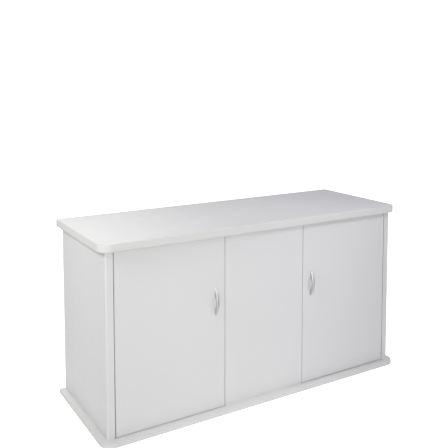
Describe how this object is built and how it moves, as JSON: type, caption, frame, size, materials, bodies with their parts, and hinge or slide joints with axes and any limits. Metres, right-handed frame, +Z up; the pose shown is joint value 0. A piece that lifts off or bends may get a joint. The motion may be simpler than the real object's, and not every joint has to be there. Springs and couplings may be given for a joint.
{
  "type": "aquarium stand cabinet",
  "caption": "Floor-standing aquarium stand cabinet: overhanging top and base boards, two inset doors with bow handles and a fixed centre panel.",
  "frame": {"origin": "on the floor under the middle of the base board", "axes": "+X to the right seen from the front, +Y to the back, +Z up; the doors face -Y"},
  "size_m": [1.21, 0.44, 0.63],
  "materials": {
    "white_laminate": "satin",
    "back_board": "satin",
    "satin_chrome": "satin",
    "hinge_nickel": "satin",
    "dark_plastic": "matte",
    "white_plastic": "matte"
  },
  "bodies": {
    "cabinet": {"back_panel_centre": "back_board", "back_panel_left": "back_board", "back_panel_right": "back_board", "base_board": "white_laminate", "cable_grommet_left": "dark_plastic", "cable_grommet_right": "dark_plastic", "centre_front_panel": "white_laminate", "corner_post_left": "white_laminate", "corner_post_right": "white_laminate", "hinge_left_lower_arm": "hinge_nickel", "hinge_left_lower_arm_screw": "hinge_nickel", "hinge_left_lower_plate": "hinge_nickel", "hinge_left_upper_arm": "hinge_nickel", "hinge_left_upper_arm_screw": "hinge_nickel", "hinge_left_upper_plate": "hinge_nickel", "hinge_right_lower_arm": "hinge_nickel", "hinge_right_lower_arm_screw": "hinge_nickel", "hinge_right_lower_plate": "hinge_nickel", "hinge_right_upper_arm": "hinge_nickel", "hinge_right_upper_arm_screw": "hinge_nickel", "hinge_right_upper_plate": "hinge_nickel", "joint_block_left_lower_back": "white_plastic", "joint_block_left_lower_front": "white_plastic", "joint_block_left_lower_partition": "white_plastic", "joint_block_left_upper_back": "white_plastic", "joint_block_left_upper_front": "white_plastic", "joint_block_left_upper_partition": "white_plastic", "joint_block_right_lower_back": "white_plastic", "joint_block_right_lower_front": "white_plastic", "joint_block_right_lower_partition": "white_plastic", "joint_block_right_upper_back": "white_plastic", "joint_block_right_upper_front": "white_plastic", "joint_block_right_upper_partition": "white_plastic", "magnetic_catch_left": "white_plastic", "magnetic_catch_right": "white_plastic", "partition_left": "white_laminate", "partition_right": "white_laminate", "side_panel_left": "white_laminate", "side_panel_right": "white_laminate", "top_board": "white_laminate"},
    "door_left": {"door_left": "white_laminate", "handle_left": "satin_chrome", "handle_left_screw_lower": "hinge_nickel", "handle_left_screw_upper": "hinge_nickel", "hinge_left_lower_cup": "hinge_nickel", "hinge_left_lower_pin": "hinge_nickel", "hinge_left_upper_cup": "hinge_nickel", "hinge_left_upper_pin": "hinge_nickel", "strike_plate_left": "hinge_nickel"},
    "door_right": {"door_right": "white_laminate", "handle_right": "satin_chrome", "handle_right_screw_lower": "hinge_nickel", "handle_right_screw_upper": "hinge_nickel", "hinge_right_lower_cup": "hinge_nickel", "hinge_right_lower_pin": "hinge_nickel", "hinge_right_upper_cup": "hinge_nickel", "hinge_right_upper_pin": "hinge_nickel", "strike_plate_right": "hinge_nickel"}
  },
  "joints": [
    {"name": "door_left_hinge", "type": "hinge", "parent": "cabinet", "child": "door_left", "pos_m": [-0.542, -0.185, 0.305], "axis": [0, 0, -1], "range_deg": [0, 95]},
    {"name": "door_right_hinge", "type": "hinge", "parent": "cabinet", "child": "door_right", "pos_m": [0.542, -0.185, 0.305], "axis": [0, 0, 1], "range_deg": [0, 95]}
  ]
}
